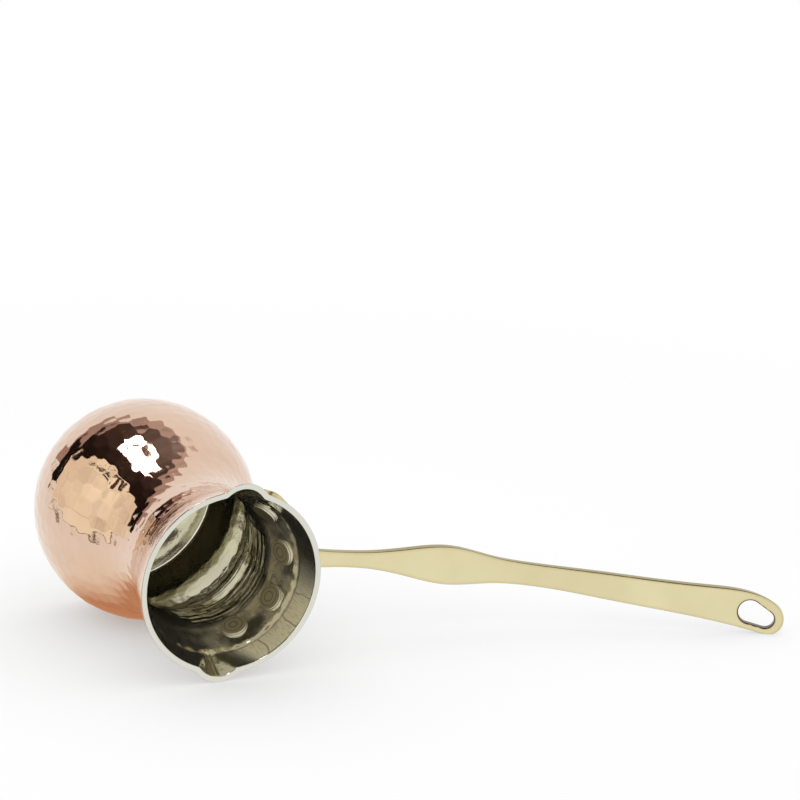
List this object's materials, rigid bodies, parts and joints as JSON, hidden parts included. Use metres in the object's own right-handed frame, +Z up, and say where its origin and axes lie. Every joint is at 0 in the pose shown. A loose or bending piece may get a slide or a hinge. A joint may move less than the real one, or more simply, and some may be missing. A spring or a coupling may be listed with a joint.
{
  "type": "turkish coffee pot",
  "caption": "Cezve: hammered copper pot with round bowl, narrow neck, flared rim with pinched pouring spouts, tinned inside, and a long upswept brass handle riveted to the neck.",
  "frame": {"origin": "centre of the flat base, on the surface that the pot stands on", "axes": "+Z up out of the mouth, +X along the handle, the two pouring spouts point along +Y and -Y"},
  "size_m": [0.2511, 0.08, 0.1288],
  "materials": {
    "copper": null,
    "tin": "hand-wiped tin, bright with faint wiping marks",
    "brass": "polished cast brass",
    "rivet": "brass rivet, tinned on the head inside the pot"
  },
  "bodies": {
    "root": {"vessel": "copper", "tin_lining": "tin", "handle": "brass", "rivet_1": "rivet", "rivet_2": "rivet", "rivet_3": "rivet", "rivet_4": "rivet"}
  },
  "joints": []
}
